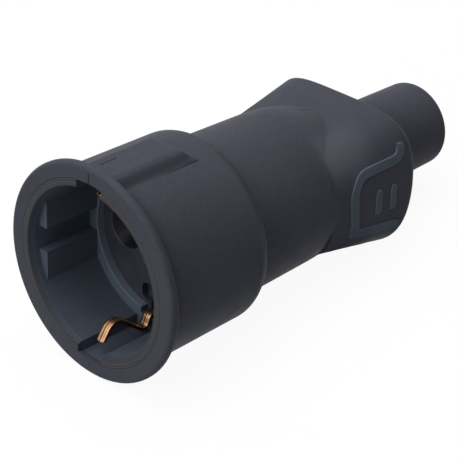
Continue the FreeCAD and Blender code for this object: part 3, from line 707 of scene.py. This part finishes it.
def seen_directly(tree):
    """1 for camera, glossy and transmission rays, which see the white background as it is."""
    path = tree.nodes.new("ShaderNodeLightPath")
    value = path.outputs["Is Camera Ray"]
    for name in ("Is Glossy Ray", "Is Transmission Ray"):
        node = tree.nodes.new("ShaderNodeMath")
        node.operation = "MAXIMUM"
        tree.links.new(value, node.inputs[0])
        tree.links.new(path.outputs[name], node.inputs[1])
        value = node.outputs[0]
    return value


def tint(tree, factor, first, second):
    """Colour that goes from the first to the second with the factor."""
    node = tree.nodes.new("ShaderNodeMix")
    node.data_type = "RGBA"
    node.inputs[MIX_FIRST].default_value = (*first, 1)
    node.inputs[MIX_SECOND].default_value = (*second, 1)
    tree.links.new(factor, node.inputs["Factor"])
    return node.outputs[MIX_RESULT]


def ramp(tree, factor, low, high):
    """Value that goes from low to high with the factor."""
    node = tree.nodes.new("ShaderNodeMapRange")
    node.inputs["To Min"].default_value = low
    node.inputs["To Max"].default_value = high
    tree.links.new(factor, node.inputs["Value"])
    return node.outputs[0]


def slope(start, end):
    """Rise of the line between two points for each metre along Y."""
    return (end.z - start.z) / (end.y - start.y)


def resting_points():
    """The points of the sleeve and of the grip that one line in the side view touches from below."""
    housing = [vertex.co for vertex in nodes["rubber_housing"].data.vertices]
    sleeve = [point for point in housing if point.y < SLEEVE_END]
    grip = [point for point in housing if point.y > GRIP_START]
    rear = min(grip, key=lambda point: point.z)
    front = max(sleeve, key=lambda point: slope(point, rear))
    rear = min(grip, key=lambda point: slope(front, point))
    return front, rear


def floor_white():
    """White where it is seen, with a light shadow, and grey for the light it throws back."""
    material = bpy.data.materials.new("floor_white")
    material.use_nodes = True
    tree = material.node_tree
    tree.nodes.clear()
    seen = seen_directly(tree)
    diffuse = tree.nodes.new("ShaderNodeBsdfDiffuse")
    tree.links.new(tint(tree, seen, FLOOR_COLOR, FLOOR_SEEN_COLOR), diffuse.inputs["Color"])
    white = tree.nodes.new("ShaderNodeEmission")
    white.inputs["Color"].default_value = (*WHITE, 1)
    white.inputs["Strength"].default_value = 1.0
    mix = tree.nodes.new("ShaderNodeMixShader")
    tree.links.new(ramp(tree, seen, 0.0, FLOOR_WHITE), mix.inputs[0])
    tree.links.new(diffuse.outputs[0], mix.inputs[1])
    tree.links.new(white.outputs[0], mix.inputs[2])
    output = tree.nodes.new("ShaderNodeOutputMaterial")
    tree.links.new(mix.outputs[0], output.inputs["Surface"])
    return material


def floor():
    """Square floor through the two places where the part rests."""
    front, rear = resting_points()
    half = FLOOR_SIZE / 2
    corners = [(-half, -half, 0), (half, -half, 0), (half, half, 0), (-half, half, 0)]
    mesh = bpy.data.meshes.new("floor")
    mesh.from_pydata(corners, [], [(0, 1, 2, 3)])
    mesh.materials.append(floor_white())
    plane = bpy.data.objects.new("floor", mesh)
    bpy.context.scene.collection.objects.link(plane)
    plane.rotation_euler = (math.atan(slope(front, rear)), 0, 0)
    plane.location = (0, front.y, front.z - FLOOR_GAP)


def sky():
    """White where it is seen, and a dim even light on the part."""
    world = bpy.data.worlds.new("studio")
    bpy.context.scene.world = world
    world.use_nodes = True
    tree = world.node_tree
    background = tree.nodes["Background"]
    seen = seen_directly(tree)
    tree.links.new(tint(tree, seen, SKY_COLOR, WHITE), background.inputs["Color"])
    tree.links.new(ramp(tree, seen, SKY_STRENGTH, 1.0), background.inputs["Strength"])


def lamp(name, place, aim, size, power, color):
    """Square soft box that faces a point."""
    data = bpy.data.lights.new(name, "AREA")
    data.shape = "SQUARE"
    data.size = size
    data.energy = power
    data.color = color
    box = bpy.data.objects.new(name, data)
    bpy.context.scene.collection.objects.link(box)
    box.location = place
    box.rotation_euler = (Vector(aim) - Vector(place)).to_track_quat("-Z", "Y").to_euler()


def camera():
    """Camera at its place, turned to its aim and rolled."""
    data = bpy.data.cameras.new("camera")
    data.lens = CAMERA_LENS
    data.clip_start = CAMERA_NEAR
    view = bpy.data.objects.new("camera", data)
    bpy.context.scene.collection.objects.link(view)
    aim = (CAMERA_AIM - CAMERA_PLACE).to_track_quat("-Z", "Y")
    view.matrix_world = (
        Matrix.Translation(CAMERA_PLACE) @ aim.to_matrix().to_4x4() @ Matrix.Rotation(CAMERA_ROLL, 4, "Z")
    )
    bpy.context.scene.camera = view


dress()
floor()
sky()
middle = (cad_box[0] + cad_box[1]) / 2
for name, place, size, power, color in LAMPS:
    lamp(name, place, middle, size, power, color)
camera()
bpy.context.scene.view_settings.view_transform = "Standard"
